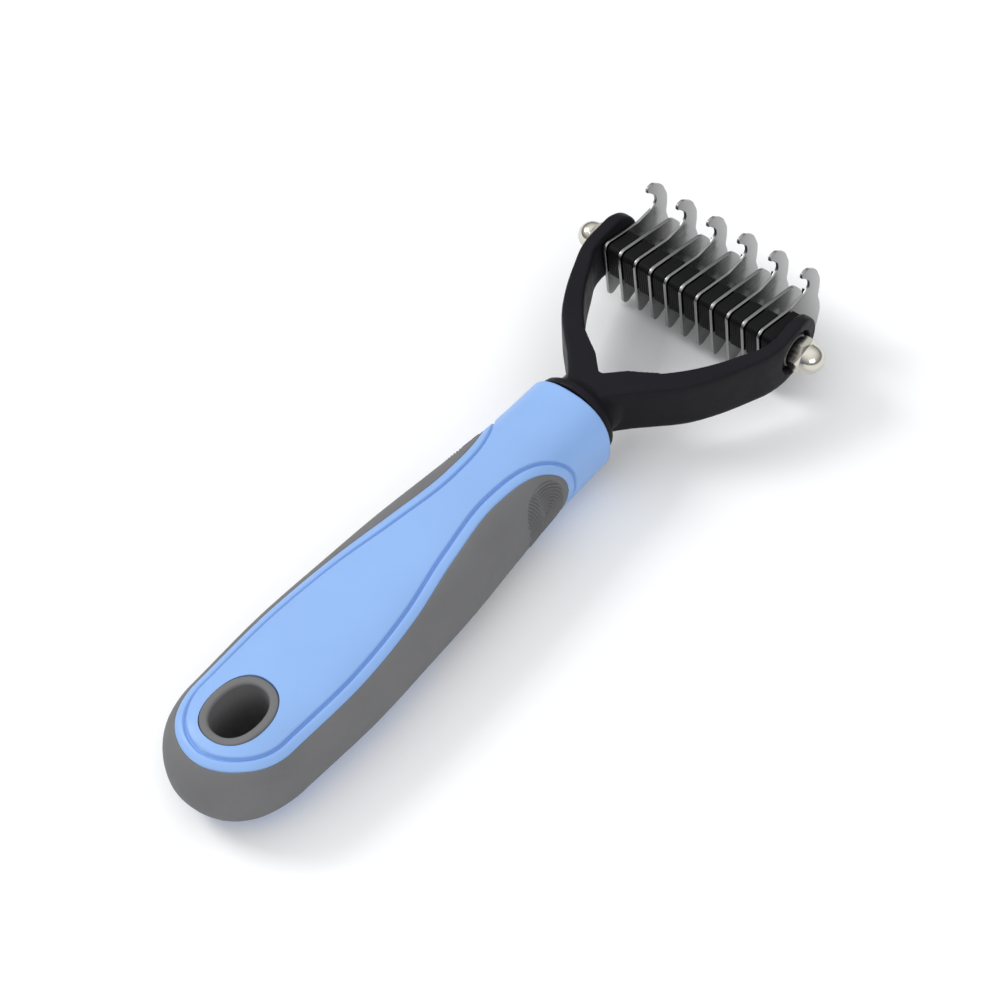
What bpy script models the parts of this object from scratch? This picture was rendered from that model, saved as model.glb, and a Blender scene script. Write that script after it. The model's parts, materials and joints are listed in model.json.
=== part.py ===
"""Dematting comb: a two-component handle, a forked yoke and a clamped pack of eleven steel blades.

The comb is laid out in its own level frame, in metres: the clamp rod runs along X through the origin,
the handle runs back along -Y and +Z is up. The empty "comb_at_rest" then tips and lifts the whole tool, so
that it lies on a flat surface on the tips of its lower hooks and the butt of its handle, with the origin at
the middle of its base.
"""
import math

import bmesh
import bpy
import numpy as np
from mathutils import Matrix, Vector

MM = 0.001
GAP = 0.3 * MM  # clearance between pieces that touch

# Resting attitude of the level frame
REST_PITCH = math.radians(1.18)
REST_LIFT = 14.58 * MM
REST_FORWARD = 70.28 * MM

# Blade pack: eleven blades, each with a spacer on its right, squeezed between the yoke's arms
BLADE_COUNT = 11
BLADE_THICK = 0.7 * MM
PITCH = 4.13 * MM
SPACER_WIDE = PITCH - BLADE_THICK
PACK_WIDE = BLADE_COUNT * PITCH - GAP
PACK_TILT = math.radians(4.9)
ROD_HOLE_R = 2.25 * MM

# Blade outline, in the blade's own frame about the rod. It is the same above and below its centre line.
BLADE_MID_Z = -3.0
NEAR_Y = -4.5
EDGE_SLOPE = 0.33  # how fast the upper and lower edges close in, away from the handle
NEAR_CORNER_Z = 6.1

# Spacer, a rounded block round the rod, just inside the blades' outline
SPACER_FAR_Y = 3.9
END_SPACER_FAR_Y = 7.2  # the last spacer, against the right arm, is a longer block
SPACER_FLOOR_Z = -4.1
SPACER_INSET = 0.25

# Clamp rod, washers and cap nuts
ROD_R = 1.9 * MM
ROD_HALF = 29.6 * MM
SEAT_X = 24.5 * MM
WASHER_R = 4.2 * MM
WASHER_THICK = 0.8 * MM
NUT_BASE_X = SEAT_X + WASHER_THICK + 2 * GAP
NUT_FLATS = 7.0 * MM
NUT_HEX = 2.7 * MM
NUT_DOME_R = 3.2 * MM
NUT_TIP_X = 32.5 * MM
NUT_BORE_R = 2.25 * MM
NUT_BORE_DEPTH = 4.0 * MM
COUNTERBORE_R = 4.8 * MM

# Yoke
ARM_HALF_TALL = 6.25 * MM
TANG = (11.0 * MM, 7.0 * MM)
TANG_LONG = 32.0 * MM
HANDLE_FRONT_Y = -43.5 * MM

# Handle
BUTT_Y = -158.9
HANDLE_MID_Z = -1.1
SECTION_POWER = 2.4
SKIN = 2.6  # thickness of the rubber grip, mm
HALF_WIDTHS = [
    (-141, 15.2),
    (-121, 15.9),
    (-105, 15.1),
    (-90, 14.1),
    (-75, 12.4),
    (-60, 10.9),
    (-43.5, 10.6),
]
HALF_HEIGHTS = [(-148, 10.6), (-120, 10.7), (-90, 11.0), (-75, 11.1), (-60, 10.8), (-43.5, 10.5)]
PANEL_LOOP_Y = -141.0  # behind this the panel closes in a loop round the butt
PANEL_HALVES = [
    (-141, 12.6),
    (-121, 12.9),
    (-105, 11.4),
    (-90, 8.6),
    (-75, 6.7),
    (-62.5, 8.4),
    (-57.4, 10.95),
    (-53, 13.6),
]
PANEL_END_Y = -154.9
HOLE_Y = -142.2
HOLE_HALF = (4.8, 6.3)
GROMMET_HALF = (6.6, 8.1)
GROMMET_HALF_TALL = 10.1  # its flat ends lie just under the handle's crown


# ---------------------------------------------------------------- helpers
def clear_scene():
    for obj in list(bpy.data.objects):
        bpy.data.objects.remove(obj, do_unlink=True)


def collection(name):
    made = bpy.data.collections.new(name)
    bpy.context.scene.collection.children.link(made)
    return made


def material(name, rgb, roughness, metallic=0.0):
    mat = bpy.data.materials.new(name)
    mat.use_nodes = True
    shader = mat.node_tree.nodes["Principled BSDF"]
    shader.inputs["Base Color"].default_value = (*rgb, 1.0)
    shader.inputs["Roughness"].default_value = roughness
    shader.inputs["Metallic"].default_value = metallic
    mat.diffuse_color = (*rgb, 1.0)
    return mat


def mesh_object(name, bm, into, mat=None, smooth=True):
    """Turn a bmesh into a named object, with round faces shaded smooth."""
    bmesh.ops.remove_doubles(bm, verts=bm.verts, dist=1e-7)
    bmesh.ops.recalc_face_normals(bm, faces=bm.faces)
    mesh = bpy.data.meshes.new(name)
    bm.to_mesh(mesh)
    bm.free()
    obj = bpy.data.objects.new(name, mesh)
    into.objects.link(obj)
    if mat:
        mesh.materials.append(mat)
    if smooth:
        mesh.shade_smooth()
        mesh.set_sharp_from_angle(angle=math.radians(32))
    return obj


def as_cutter(obj):
    obj.hide_render = True
    obj.display_type = "WIRE"
    return obj


def boolean(obj, other, operation):
    mod = obj.modifiers.new(f"{operation.lower()}_{other.name}", "BOOLEAN")
    mod.operation = operation
    mod.solver = "EXACT"
    mod.object = other


def through(stations, at):
    """Smooth curve through (place, value) stations, read at one place and held level past the ends."""
    places = np.array([s[0] for s in stations], float)
    values = np.array([s[1] for s in stations], float)
    slopes = np.gradient(values, places)
    at = min(max(at, places[0]), places[-1])
    i = min(int(np.searchsorted(places, at, side="right")) - 1, len(places) - 2)
    run = places[i + 1] - places[i]
    t = (at - places[i]) / run
    return float(
        (2 * t**3 - 3 * t**2 + 1) * values[i]
        + (t**3 - 2 * t**2 + t) * run * slopes[i]
        + (3 * t**2 - 2 * t**3) * values[i + 1]
        + (t**3 - t**2) * run * slopes[i + 1]
    )


def superellipse(half_a, half_b, count, power):
    """Points of a rounded section, counter-clockwise from +a."""
    points = []
    for i in range(count):
        c, s = math.cos(2 * math.pi * i / count), math.sin(2 * math.pi * i / count)
        points.append(
            (
                half_a * math.copysign(abs(c) ** (2 / power), c),
                half_b * math.copysign(abs(s) ** (2 / power), s),
            )
        )
    return points


def loft(rings):
    """Closed body through rings of equal count, with flat ends."""
    bm = bmesh.new()
    made = [[bm.verts.new(p) for p in ring] for ring in rings]
    count = len(rings[0])
    for low, high in zip(made, made[1:]):
        for i in range(count):
            j = (i + 1) % count
            bm.faces.new((low[i], low[j], high[j], high[i]))
    bm.faces.new(made[0])
    bm.faces.new(made[-1])
    return bm


def filleted(corners, step=math.radians(20)):
    """Closed outline through (y, z, radius) corners, each rounded by an arc of that radius."""
    outline = []
    total = len(corners)
    for i, (y, z, radius) in enumerate(corners):
        here = Vector((y, z))
        before = (Vector(corners[i - 1][:2]) - here).normalized()
        after = (Vector(corners[(i + 1) % total][:2]) - here).normalized()
        half = before.angle(after) / 2
        if radius <= 0 or half > math.radians(88.5):
            outline.append((y, z))
            continue
        reach = radius / math.tan(half)
        centre = here + (before + after).normalized() * (radius / math.sin(half))
        start, end = here + before * reach - centre, here + after * reach - centre
        sweep = start.angle_signed(end)
        arcs = max(1, math.ceil(abs(sweep) / step))
        for k in range(arcs + 1):
            turned = Matrix.Rotation(-sweep * k / arcs, 2) @ start
            outline.append(tuple(centre + turned))
    return outline


def circle(radius, count=20, y=0.0, z=0.0):
    return [
        (y + radius * math.cos(2 * math.pi * i / count), z + radius * math.sin(2 * math.pi * i / count))
        for i in range(count)
    ]


def plate(name, outline, holes, thick, into, mat=None):
    """Flat plate in the YZ plane, centred on X = 0: a filled 2D curve, extruded and made a mesh."""
    curve = bpy.data.curves.new(name, "CURVE")
    curve.dimensions = "2D"
    curve.fill_mode = "BOTH"
    curve.extrude = thick / 2
    for loop in [outline, *holes]:
        spline = curve.splines.new("POLY")
        spline.points.add(len(loop) - 1)
        spline.use_cyclic_u = True
        for point, (u, v) in zip(spline.points, loop):
            point.co = (u, v, 0.0, 1.0)
    shape = bpy.data.objects.new(name + "_outline", curve)
    into.objects.link(shape)
    bpy.context.view_layer.update()
    flat = bpy.data.meshes.new_from_object(shape.evaluated_get(bpy.context.evaluated_depsgraph_get()))
    bm = bmesh.new()
    bm.from_mesh(flat)
    # the curve's own X, Y and Z become Y, Z and X
    bm.transform(Matrix(((0, 0, 1, 0), (1, 0, 0, 0), (0, 1, 0, 0), (0, 0, 0, 1))))
    bpy.data.objects.remove(shape)
    bpy.data.meshes.remove(flat)
    return mesh_object(name, bm, into, mat)


def mm(points):
    return [tuple(c * MM for c in p) for p in points]


# ---------------------------------------------------------------- blades and spacers
def hook_corners(side):
    """Corners of one hook, from the blade's edge round its tip. side is +1 above, -1 below."""
    above = [
        (7.2, 5.3, 3.0),
        (11.6, 5.1, 1.4),
        (13.6, 5.9, 1.2),
        (13.4, 8.2, 3.0),
        (11.6, 11.1, 0.8),
        (10.8, 11.9, 0.5),
        (11.3, 12.9, 0.6),
        (13.2, 12.9, 1.3),
        (16.3, 9.3, 4.0),
        (17.5, 5.3, 4.0),
        (17.3, 2.6, 3.0),
    ]
    return [(y, BLADE_MID_Z + side * z, r) for y, z, r in above]


def blade_outline(upper_hook):
    """One blade, clockwise from its near upper corner. The wide-spaced blades also carry a hook above."""
    rise = NEAR_CORNER_Z - BLADE_MID_Z
    if upper_hook:
        upper = hook_corners(+1)
    else:
        upper = [(14.0, 0.2, 4.0), (17.4, -5.4, 6.0)]
    lower = list(reversed(hook_corners(-1)))
    waist = [(16.7, BLADE_MID_Z, 3.0)] if upper_hook else []
    near_above = [(NEAR_Y, BLADE_MID_Z + rise, 1.6)]
    near_below = [(NEAR_Y, BLADE_MID_Z - rise, 1.5)]
    return mm(filleted(near_above + upper + waist + lower + near_below))


def spacer_outline(far):
    top = NEAR_CORNER_Z - SPACER_INSET
    near = NEAR_Y + SPACER_INSET
    far_top = top - EDGE_SLOPE * (far - near)
    corners = [
        (near, top, 1.5),
        (far, far_top, 0.5),
        (far, SPACER_FLOOR_Z, 0.8),
        (near, SPACER_FLOOR_Z, 0.8),
    ]
    return mm(filleted(corners, math.radians(30)))


def blade_pack(into, mats, parent):
    hole = [circle(ROD_HOLE_R)]
    first = plate("blade_01", blade_outline(True), hole, BLADE_THICK, into, mats["blade"])
    second = plate("blade_02", blade_outline(False), hole, BLADE_THICK, into, mats["blade"])
    thick = SPACER_WIDE - 2 * GAP
    spacer = plate("spacer_01", spacer_outline(SPACER_FAR_Y), hole, thick, into, mats["spacer"])
    end_spacer = plate("end_spacer", spacer_outline(END_SPACER_FAR_Y), hole, thick, into, mats["spacer"])
    for k in range(BLADE_COUNT):
        blade_x = -PACK_WIDE / 2 + BLADE_THICK / 2 + k * PITCH
        spacer_x = blade_x + PITCH / 2
        shape = (first, second)[k % 2]
        blade = shape if k < 2 else bpy.data.objects.new(f"blade_{k + 1:02d}", shape.data)
        if k == BLADE_COUNT - 1:
            block = end_spacer
        else:
            block = spacer if k == 0 else bpy.data.objects.new(f"spacer_{k + 1:02d}", spacer.data)
        for obj, x in ((blade, blade_x), (block, spacer_x)):
            if obj.name not in into.objects:
                into.objects.link(obj)
            obj.parent = parent
            obj.location = (x, 0, 0)


# ---------------------------------------------------------------- rod, washers and nuts
def turned_about_x(name, profile, into, mat, steps=24):
    """Turn a profile of (x, radius) points about the X axis. It is listed from its far +X end."""
    mesh = bpy.data.meshes.new(name)
    verts = [(radius, 0.0, x) for x, radius in profile]
    mesh.from_pydata(verts, [(i, i + 1) for i in range(len(verts) - 1)], [])
    obj = bpy.data.objects.new(name, mesh)
    into.objects.link(obj)
    mesh.materials.append(mat)
    screw = obj.modifiers.new("turn", "SCREW")
    screw.axis = "Z"
    screw.steps = steps
    screw.render_steps = steps
    screw.use_merge_vertices = True
    screw.merge_threshold = 1e-6
    screw.use_smooth_shade = True
    obj.rotation_euler = (0, math.pi / 2, 0)
    return obj


def clamp_rod(into, mats, parent):
    chamfer = 0.4 * MM
    profile = [(ROD_HALF, 0.0), (ROD_HALF, ROD_R - chamfer), (ROD_HALF - chamfer, ROD_R)]
    profile += [(-ROD_HALF + chamfer, ROD_R), (-ROD_HALF, ROD_R - chamfer), (-ROD_HALF, 0.0)]
    rod = turned_about_x("clamp_rod", profile, into, mats["zinc"], steps=20)
    rod.parent = parent


def washer(name, side, into, mats, parent):
    low, high = SEAT_X + GAP, SEAT_X + GAP + WASHER_THICK
    profile = [(high, ROD_HOLE_R), (high, WASHER_R), (low, WASHER_R), (low, ROD_HOLE_R), (high, ROD_HOLE_R)]
    ring = turned_about_x(name, profile, into, mats["zinc"])
    ring.parent = parent
    if side < 0:
        ring.rotation_euler = (0, -math.pi / 2, 0)


def cap_nut(name, side, into, cutters, mats, parent):
    """Hexagon with chamfered corners under a dome, with a blind bore: a turned envelope cut by a hexagon."""
    hex_top = NUT_BASE_X + NUT_HEX
    corner_r = NUT_FLATS / math.sqrt(3)
    dome_centre = NUT_TIP_X - NUT_DOME_R
    profile = [(NUT_TIP_X, 0.0)]
    for k in range(1, 6):
        angle = math.radians(90 - 18 * k)
        profile.append((dome_centre + NUT_DOME_R * math.sin(angle), NUT_DOME_R * math.cos(angle)))
    profile += [(hex_top, NUT_DOME_R), (hex_top - 0.15 * MM, NUT_FLATS / 2 - 0.1 * MM)]
    profile += [(hex_top - 0.65 * MM, corner_r), (NUT_BASE_X + 0.4 * MM, corner_r)]
    profile += [(NUT_BASE_X, NUT_FLATS / 2), (NUT_BASE_X, NUT_BORE_R)]
    profile += [(NUT_BASE_X + NUT_BORE_DEPTH, NUT_BORE_R), (NUT_BASE_X + NUT_BORE_DEPTH + 0.8 * MM, 0.0)]
    nut = turned_about_x(name, profile, into, mats["nickel"])
    nut.parent = parent
    if side < 0:
        nut.rotation_euler = (0, -math.pi / 2, 0)
    bm = bmesh.new()
    bmesh.ops.create_cone(
        bm, cap_ends=True, segments=6, radius1=corner_r, radius2=corner_r, depth=24 * MM,
        matrix=Matrix.Translation((0, 0, NUT_BASE_X)) @ Matrix.Rotation(math.radians(15), 4, "Z"),
    )
    hexagon = as_cutter(mesh_object(name + "_hexagon", bm, cutters, smooth=False))
    hexagon.parent = nut
    boolean(nut, hexagon, "INTERSECT")
    return nut


# ---------------------------------------------------------------- yoke
ARM_PATH = [  # place of the arm's middle line in plan, and its thickness across: (x, y, thick), mm
    (1.5, -40.5, 8.0),
    (3.4, -36.9, 8.2),
    (6.7, -32.9, 7.3),
    (10.6, -29.0, 6.1),
    (15.0, -24.4, 4.9),
    (18.6, -19.2, 4.2),
    (22.1, -12.4, 3.6),
    (24.0, -8.2, 3.1),
    (24.55, -5.4, 3.0),
    (24.55, -1.0, 3.0),
]
ARM_INNER_X = 23.05
ARM_END_Y = 0.9  # centre of the arm's rounded ear, a little ahead of the rod and above it
ARM_END_Z = 0.3
ARM_END_R = 6.8
ARM_END_THINNER = 0.8  # how much thinner the ear is at its tip
ARM_RING = 16


def arm_rings(side):
    """Rounded-rectangle sections along one arm, closing to a half-round end about the rod."""
    places = [Vector((x, y)) for x, y, _ in ARM_PATH]
    rings = []
    for i, (x, y, thick) in enumerate(ARM_PATH):
        ahead = places[min(i + 1, len(places) - 1)] - places[max(i - 1, 0)]
        across = Vector((ahead.y, -ahead.x)).normalized()
        rings.append((x, y, 0.0, across, thick / 2, ARM_HALF_TALL / MM))
    # the ear is a half-round in side view
    thick = ARM_PATH[-1][2]
    for angle in (math.radians(a) for a in (0, 15, 30, 45, 60, 75, 85)):
        half_thick = (thick - ARM_END_THINNER * math.sin(angle)) / 2
        half_tall = ARM_END_R * math.cos(angle)
        y = ARM_END_Y + ARM_END_R * math.sin(angle)
        rings.append((ARM_INNER_X + half_thick, y, ARM_END_Z, Vector((1, 0)), half_thick, half_tall))
    made = []
    for x, y, z, across, half_thick, half_tall in rings:
        ring = []
        for u, v in superellipse(half_thick, half_tall, ARM_RING, 4.5):
            ring.append((side * (x + across.x * u) * MM, (y + across.y * u) * MM, (z + v) * MM))
        made.append(ring)
    return made


def neck_rings():
    """Round collar against the handle, drawn in to the fork's root."""
    stations = [(0.3, 9.6, 9.6, 2.0), (1.8, 9.6, 9.6, 2.0), (2.5, 8.9, 8.9, 2.0), (3.8, 7.9, 7.3, 2.2),
                (5.6, 7.3, 6.1, 2.6), (8.8, 7.3, 5.9, 3.4)]
    rings = []
    for ahead, wide, tall, power in stations:
        ring = [(u * MM, HANDLE_FRONT_Y + ahead * MM, v * MM) for u, v in superellipse(wide, tall, 32, power)]
        rings.append(ring)
    return rings


def x_cylinder(name, radius, low, high, into, count=24):
    bm = bmesh.new()
    bmesh.ops.create_cone(
        bm, cap_ends=True, segments=count, radius1=radius, radius2=radius, depth=high - low,
        matrix=Matrix.Translation(((low + high) / 2, 0, 0)) @ Matrix.Rotation(math.pi / 2, 4, "Y"),
    )
    return as_cutter(mesh_object(name, bm, into))


def box(name, low, high, into):
    bm = bmesh.new()
    size = [h - l for l, h in zip(low, high)]
    middle = [(h + l) / 2 for l, h in zip(low, high)]
    bmesh.ops.create_cube(bm, size=1.0, matrix=Matrix.Translation(middle) @ Matrix.Diagonal((*size, 1.0)))
    return as_cutter(mesh_object(name, bm, into, smooth=False))


def yoke(into, cutters, mats, parent):
    body = mesh_object("yoke", loft(neck_rings()), into, mats["yoke"])
    body.parent = parent
    tang = box(
        "tang",
        (-TANG[0] / 2, HANDLE_FRONT_Y - TANG_LONG, -TANG[1] / 2 + HANDLE_MID_Z * MM),
        (TANG[0] / 2, HANDLE_FRONT_Y + 1 * MM, TANG[1] / 2 + HANDLE_MID_Z * MM),
        cutters,
    )
    adds = [tang]
    for side, arm in ((-1, "arm_left"), (1, "arm_right")):
        adds.append(as_cutter(mesh_object(arm, loft(arm_rings(side)), cutters)))
    cuts = [x_cylinder("rod_holes", ROD_HOLE_R, -40 * MM, 40 * MM, cutters, count=20)]
    cuts.append(x_cylinder("seat_right", COUNTERBORE_R, SEAT_X, SEAT_X + 8 * MM, cutters))
    cuts.append(x_cylinder("seat_left", COUNTERBORE_R, -SEAT_X - 8 * MM, -SEAT_X, cutters))
    for tool in adds:
        tool.parent = parent
        boolean(body, tool, "UNION")
    for tool in cuts:
        tool.parent = parent
        boolean(body, tool, "DIFFERENCE")


# ---------------------------------------------------------------- handle
def handle_rings(inset, count, steps, front):
    """Sections of the handle, drawn in by inset (mm) all round, from the butt to the plane y = front (mm)."""
    butt = BUTT_Y + inset
    round_long = {"wide": 18.0, "tall": 10.0}
    places = [butt + 18.0 * (1 - math.cos(math.radians(a))) for a in (6, 16, 28, 42, 58, 74, 90)]
    places += [places[-1] + (front - places[-1]) * (k + 1) / steps for k in range(steps)]
    rings = []
    for y in places:
        sizes = []
        for stations, key in ((HALF_WIDTHS, "wide"), (HALF_HEIGHTS, "tall")):
            short = max(0.0, 1 - (y - butt) / round_long[key])
            sizes.append((through(stations, y) - inset) * math.sqrt(1 - min(short, 0.9999) ** 2))
        section = superellipse(*sizes, count, SECTION_POWER)
        rings.append(mm([(u, y, HANDLE_MID_Z + v) for u, v in section]))
    return rings


def panel_outline(grow):
    """The blue panel in plan, widened by grow (mm): a loop round the butt, a waist and a flare."""
    right = []
    for k in range(1, 9):
        angle = math.radians(90 * k / 8)
        reach = through(PANEL_HALVES, PANEL_LOOP_Y)
        y = PANEL_LOOP_Y - (PANEL_LOOP_Y - PANEL_END_Y + grow) * math.cos(angle)
        right.append(((reach + grow) * math.sin(angle), y))
    right += [(through(PANEL_HALVES, y) + grow, y) for y in range(-137, -64, 4)]
    right += [(through(PANEL_HALVES, y) + grow, y) for y in range(-64, -51, 2)]
    right += [(22.0, -46.5), (22.0, -38.0)]
    left = [(-x, y) for x, y in reversed(right)]
    return mm([(0.0, PANEL_END_Y - grow), *right, *left])


def upright_prism(name, outline, into, half_tall=20 * MM, mid=0.0):
    bm = bmesh.new()
    rings = [[bm.verts.new((x, y, z)) for x, y in outline] for z in (mid - half_tall, mid + half_tall)]
    count = len(outline)
    for i in range(count):
        j = (i + 1) % count
        bm.faces.new((rings[0][i], rings[0][j], rings[1][j], rings[1][i]))
    bm.faces.new(rings[0])
    bm.faces.new(rings[1])
    return as_cutter(mesh_object(name, bm, into))


def oval(half, grow=0.0, count=24):
    points = superellipse(half[0] + grow, half[1] + grow, count, 2.2)
    return mm([(x, HOLE_Y + y) for x, y in points])


def handle(into, cutters, mats, parent):
    around = 32
    front = HANDLE_FRONT_Y / MM
    gap = GAP / MM
    panel = upright_prism("panel", panel_outline(0.0), cutters)
    panel_clear = upright_prism("panel_clear", panel_outline(gap), cutters)
    inner_shape = loft(handle_rings(SKIN + gap, around, 11, front - 1))
    inner = as_cutter(mesh_object("core_inner", inner_shape, cutters))
    clear_shape = loft(handle_rings(SKIN, around, 11, front + 4))
    inner_clear = as_cutter(mesh_object("core_clear", clear_shape, cutters))
    hole_clear = upright_prism("hole_clear", oval(GROMMET_HALF, gap), cutters)
    hole = upright_prism("hang_hole", oval(HOLE_HALF), cutters)
    half_x, half_z = TANG[0] / 2 + GAP, TANG[1] / 2 + GAP
    socket = box(
        "tang_socket",
        (-half_x, HANDLE_FRONT_Y - TANG_LONG - GAP, -half_z + HANDLE_MID_Z * MM),
        (half_x, HANDLE_FRONT_Y + 5 * MM, half_z + HANDLE_MID_Z * MM),
        cutters,
    )

    core = mesh_object("handle_core", loft(handle_rings(0.0, around, 14, front)), into, mats["core"])
    boolean(core, panel, "INTERSECT")
    boolean(core, inner, "UNION")
    boolean(core, hole_clear, "DIFFERENCE")
    boolean(core, socket, "DIFFERENCE")

    grip = mesh_object("grip_overmould", loft(handle_rings(0.0, around, 14, front)), into, mats["grip"])
    boolean(grip, panel_clear, "DIFFERENCE")
    boolean(grip, inner_clear, "DIFFERENCE")

    half_tall, mid = GROMMET_HALF_TALL * MM, HANDLE_MID_Z * MM
    grommet = upright_prism("hang_hole_grommet", oval(GROMMET_HALF), into, half_tall, mid)
    grommet.hide_render = False
    grommet.display_type = "TEXTURED"
    grommet.data.materials.append(mats["grip"])
    boolean(grommet, hole, "DIFFERENCE")

    for obj in (panel, panel_clear, inner, inner_clear, hole_clear, hole, socket, core, grip, grommet):
        obj.parent = parent


# ---------------------------------------------------------------- assembly
def main():
    clear_scene()
    parts, cutters = collection("dematting_comb"), collection("cutters")
    mats = {
        "core": material("blue_polypropylene", (0.30, 0.53, 0.88), 0.45),
        "grip": material("grey_rubber", (0.14, 0.14, 0.14), 0.75),
        "yoke": material("black_nylon", (0.018, 0.018, 0.02), 0.38),
        "spacer": material("black_spacer", (0.012, 0.012, 0.013), 0.45),
        "blade": material("ground_steel", (0.56, 0.57, 0.58), 0.28, 1.0),
        "zinc": material("zinc_plate", (0.62, 0.62, 0.60), 0.35, 1.0),
        "nickel": material("nickel_plate", (0.78, 0.75, 0.68), 0.18, 1.0),
    }
    comb = bpy.data.objects.new("comb_at_rest", None)
    parts.objects.link(comb)
    pack = bpy.data.objects.new("rod_axis", None)
    parts.objects.link(pack)
    pack.parent = comb
    pack.rotation_euler = (PACK_TILT, 0, 0)

    blade_pack(parts, mats, pack)
    clamp_rod(parts, mats, comb)
    for side, name in ((-1, "left"), (1, "right")):
        washer(f"{name}_washer", side, parts, mats, comb)
        cap_nut(f"{name}_cap_nut", side, parts, cutters, mats, comb)
    yoke(parts, cutters, mats, comb)
    handle(parts, cutters, mats, comb)

    comb.rotation_euler = (REST_PITCH, 0, 0)
    comb.location = (0, REST_FORWARD, REST_LIFT)
    bpy.context.view_layer.update()


main()
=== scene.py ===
import math

import bmesh
import bpy
import numpy as np
from mathutils import Matrix, Vector
from mathutils.kdtree import KDTree
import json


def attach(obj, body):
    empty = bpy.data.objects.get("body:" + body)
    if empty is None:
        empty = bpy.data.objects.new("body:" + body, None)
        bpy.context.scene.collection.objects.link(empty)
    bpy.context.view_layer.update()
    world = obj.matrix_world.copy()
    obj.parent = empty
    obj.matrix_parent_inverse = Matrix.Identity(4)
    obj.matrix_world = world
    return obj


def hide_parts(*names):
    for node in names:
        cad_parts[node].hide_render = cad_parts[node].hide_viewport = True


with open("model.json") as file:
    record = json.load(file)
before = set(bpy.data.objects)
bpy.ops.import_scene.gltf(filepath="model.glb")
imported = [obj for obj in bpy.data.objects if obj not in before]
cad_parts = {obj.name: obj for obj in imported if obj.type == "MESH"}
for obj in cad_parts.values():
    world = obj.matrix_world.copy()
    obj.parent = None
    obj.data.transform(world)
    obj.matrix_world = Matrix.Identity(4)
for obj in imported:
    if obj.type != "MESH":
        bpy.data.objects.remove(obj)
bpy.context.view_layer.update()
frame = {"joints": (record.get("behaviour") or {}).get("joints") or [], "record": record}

# ---------------------------------------------------------------- frame
# Pieces are drawn in millimetres in the comb's own level frame, about the middle of its clamp rod: X along
# the rod, -Y back along the handle, +Z up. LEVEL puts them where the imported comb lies. PACK does so for the
# blades and spacers, which are turned about the rod.
MM = 0.001
rod_at = next(j for j in frame["joints"] if j["name"] == "left_nut_turn")["pos_m"]
rim_normal = next(m for m in frame["record"]["mounts"] if m["name"] == "hang_hole_rim_top")["axis"]
REST_PITCH = math.atan2(-rim_normal[1], rim_normal[2])
PACK_TILT = math.radians(4.9)
LEVEL = (
    Matrix.Translation((0, rod_at[1], rod_at[2]))
    @ Matrix.Rotation(REST_PITCH, 4, "X")
    @ Matrix.Scale(MM, 4)
)
PACK = LEVEL @ Matrix.Rotation(PACK_TILT, 4, "X")
BODY = "comb"

# Handle. Stations are (y, half size).
BUTT_Y = -158.8
FRONT_Y = -43.5
MID_Z = -1.1
POWER = 2.4  # of the superellipse that its section is
BUTT_ROUND_WIDE = 18.0
BUTT_ROUND_TALL = 10.0
HALF_WIDTHS = [(-141, 15.2), (-121, 15.9), (-105, 15.1), (-90, 14.1), (-75, 12.4), (-60, 10.9), (-43.5, 10.6)]
HALF_HEIGHTS = [(-148, 10.5), (-120, 10.6), (-90, 11.0), (-75, 11.1), (-60, 10.8), (-43.5, 10.5)]
PANEL_LOOP_Y = -141.0  # behind it the panel's edge is half an ellipse round the hanging hole
PANEL_END_Y = -154.9
PANEL_HALVES = [
    (-141, 12.6),
    (-121, 12.9),
    (-105, 11.4),
    (-90, 8.6),
    (-75, 6.7),
    (-62.5, 8.4),
    (-57.4, 10.95),
    (-53, 13.6),
]
SKIN = 1.3  # how far the grip's rubber is let into the blue core
SKIN_GAP = 0.05  # between the rubber and the core under it
SKIN_RUN_OUT = 1.5  # the rubber thins to nothing over this much width at a lobe's tip
SEAM_DEPTH = 0.16
SEAM_WIDE = 0.35
GROOVE_IN = 2.35  # from the rubber's edge to the middle of the groove
GROOVE_HALF = 0.6
GROOVE_DEPTH = 0.8
FRONT_ROUND = 0.7
HOLE_Y = -142.2
HOLE_HALF = (4.8, 6.3)
HOLE_POWER = 2.2
RING_HALF = (6.6, 8.1)
RING_TALL = 10.3
RING_GAP = 0.12
RING_LIP = 0.45  # rounding of its outer edge
RING_MOUTH = 0.7  # rounding of its inner edge

# Mesh density of the handle
SKIN_SAMPLES = 400
SEAM_SAMPLE = 0.08
BUTT_TURNS = (0.7, 1.5, 3, 5, 7.5, 10.5, 14, 18, 22, 26, 30)  # degrees round the end
BODY_STEP = 1.2
RIDGE_STEP = 0.13
GRIP_STEPS = 84
GRIP_EDGE_STEPS = (0.36, 0.2, 0.08)
RECESS_STEPS = 10
UNDERSIDE_STEPS = 8
PANEL_STEPS = 12

# Ridge patch in each front lobe of the grip, like a fingerprint: tight arcs in front, wide arcs behind
PATCH_Y = -65.7
PATCH_HALF = (6.2, 7.9)
PATCH_POWER = 2.6
TIGHT_ARCS_Y = -65.9
WIDE_ARCS_Y = -78.0
RIDGE_MEETING_Y = -66.6
RIDGE_MEETING_WIDE = 1.2
RIDGE_PITCH = 0.68
RIDGE_TALL = 0.42
RIDGE_SUNK = 0.6  # share of the ridges' height that lies below the skin

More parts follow.
